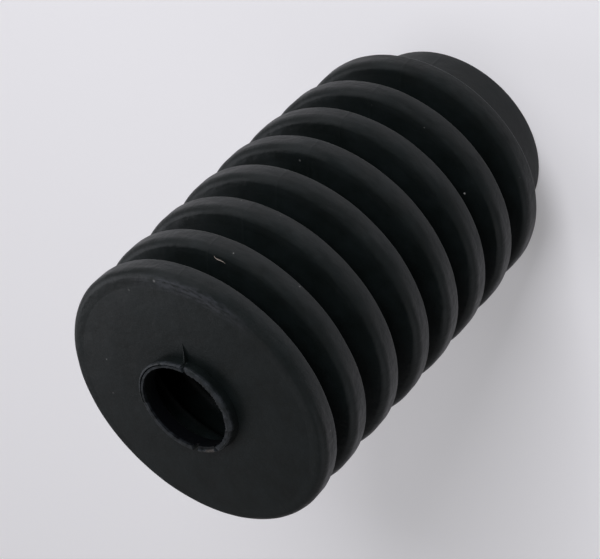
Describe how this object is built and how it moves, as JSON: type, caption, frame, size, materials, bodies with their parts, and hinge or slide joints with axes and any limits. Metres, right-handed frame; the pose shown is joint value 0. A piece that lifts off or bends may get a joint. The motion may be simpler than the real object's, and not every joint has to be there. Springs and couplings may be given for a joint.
{
  "type": "rubber bellows boot",
  "caption": "Hollow moulded rubber bellows that shields a sliding rod: deep folds between an open clamping collar and a flat face with a small wiping lip.",
  "frame": {"origin": "centre of the collar's flat end, which the boot stands on", "axes": "+Z along the boot's axis from the collar towards the lip; the mould's seam runs down -Y and +Y"},
  "size_m": [0.062, 0.062, 0.1059],
  "materials": {
    "rubber": "moulded black rubber, satin on the crests and dull in the grooves"
  },
  "bodies": {
    "root": {"bellows_boot": "rubber"}
  },
  "joints": []
}
